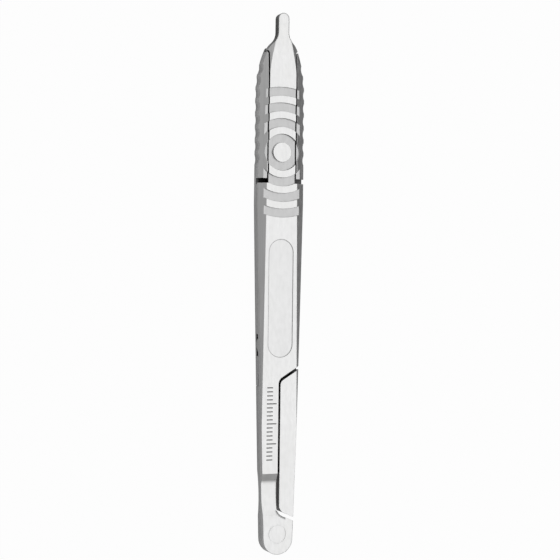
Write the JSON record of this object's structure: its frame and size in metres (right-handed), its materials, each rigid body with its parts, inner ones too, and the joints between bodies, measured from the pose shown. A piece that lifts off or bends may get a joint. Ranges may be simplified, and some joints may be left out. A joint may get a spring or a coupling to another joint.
{
  "type": "scalpel handle",
  "caption": "Slim stainless scalpel handle in two interlocked members: a scalloped frame and a rocking lever whose thumb tab lifts the nose to free the blade.",
  "frame": {"origin": "under the middle of the handle, on the flat back that it rests on", "axes": "+Z out of the front face, +Y along the handle towards the nose, +X to the right seen from the front with the nose up"},
  "size_m": [0.0122, 0.1354, 0.0038],
  "materials": {
    "satin_steel": "satin",
    "magnet_plating": "bright nickel plate"
  },
  "bodies": {
    "frame": {"handle_frame": "satin_steel", "closing_magnet": "magnet_plating"},
    "lever": {"release_lever": "satin_steel"}
  },
  "joints": [
    {"name": "lever_rock", "type": "hinge", "parent": "frame", "child": "lever", "pos_m": [0, -0.0154, 0.00115], "axis": [1, 0, 0], "range_deg": [0, 1.1], "stiffness_Nm_per_rad": 0.5, "springref_deg": -5.73}
  ]
}
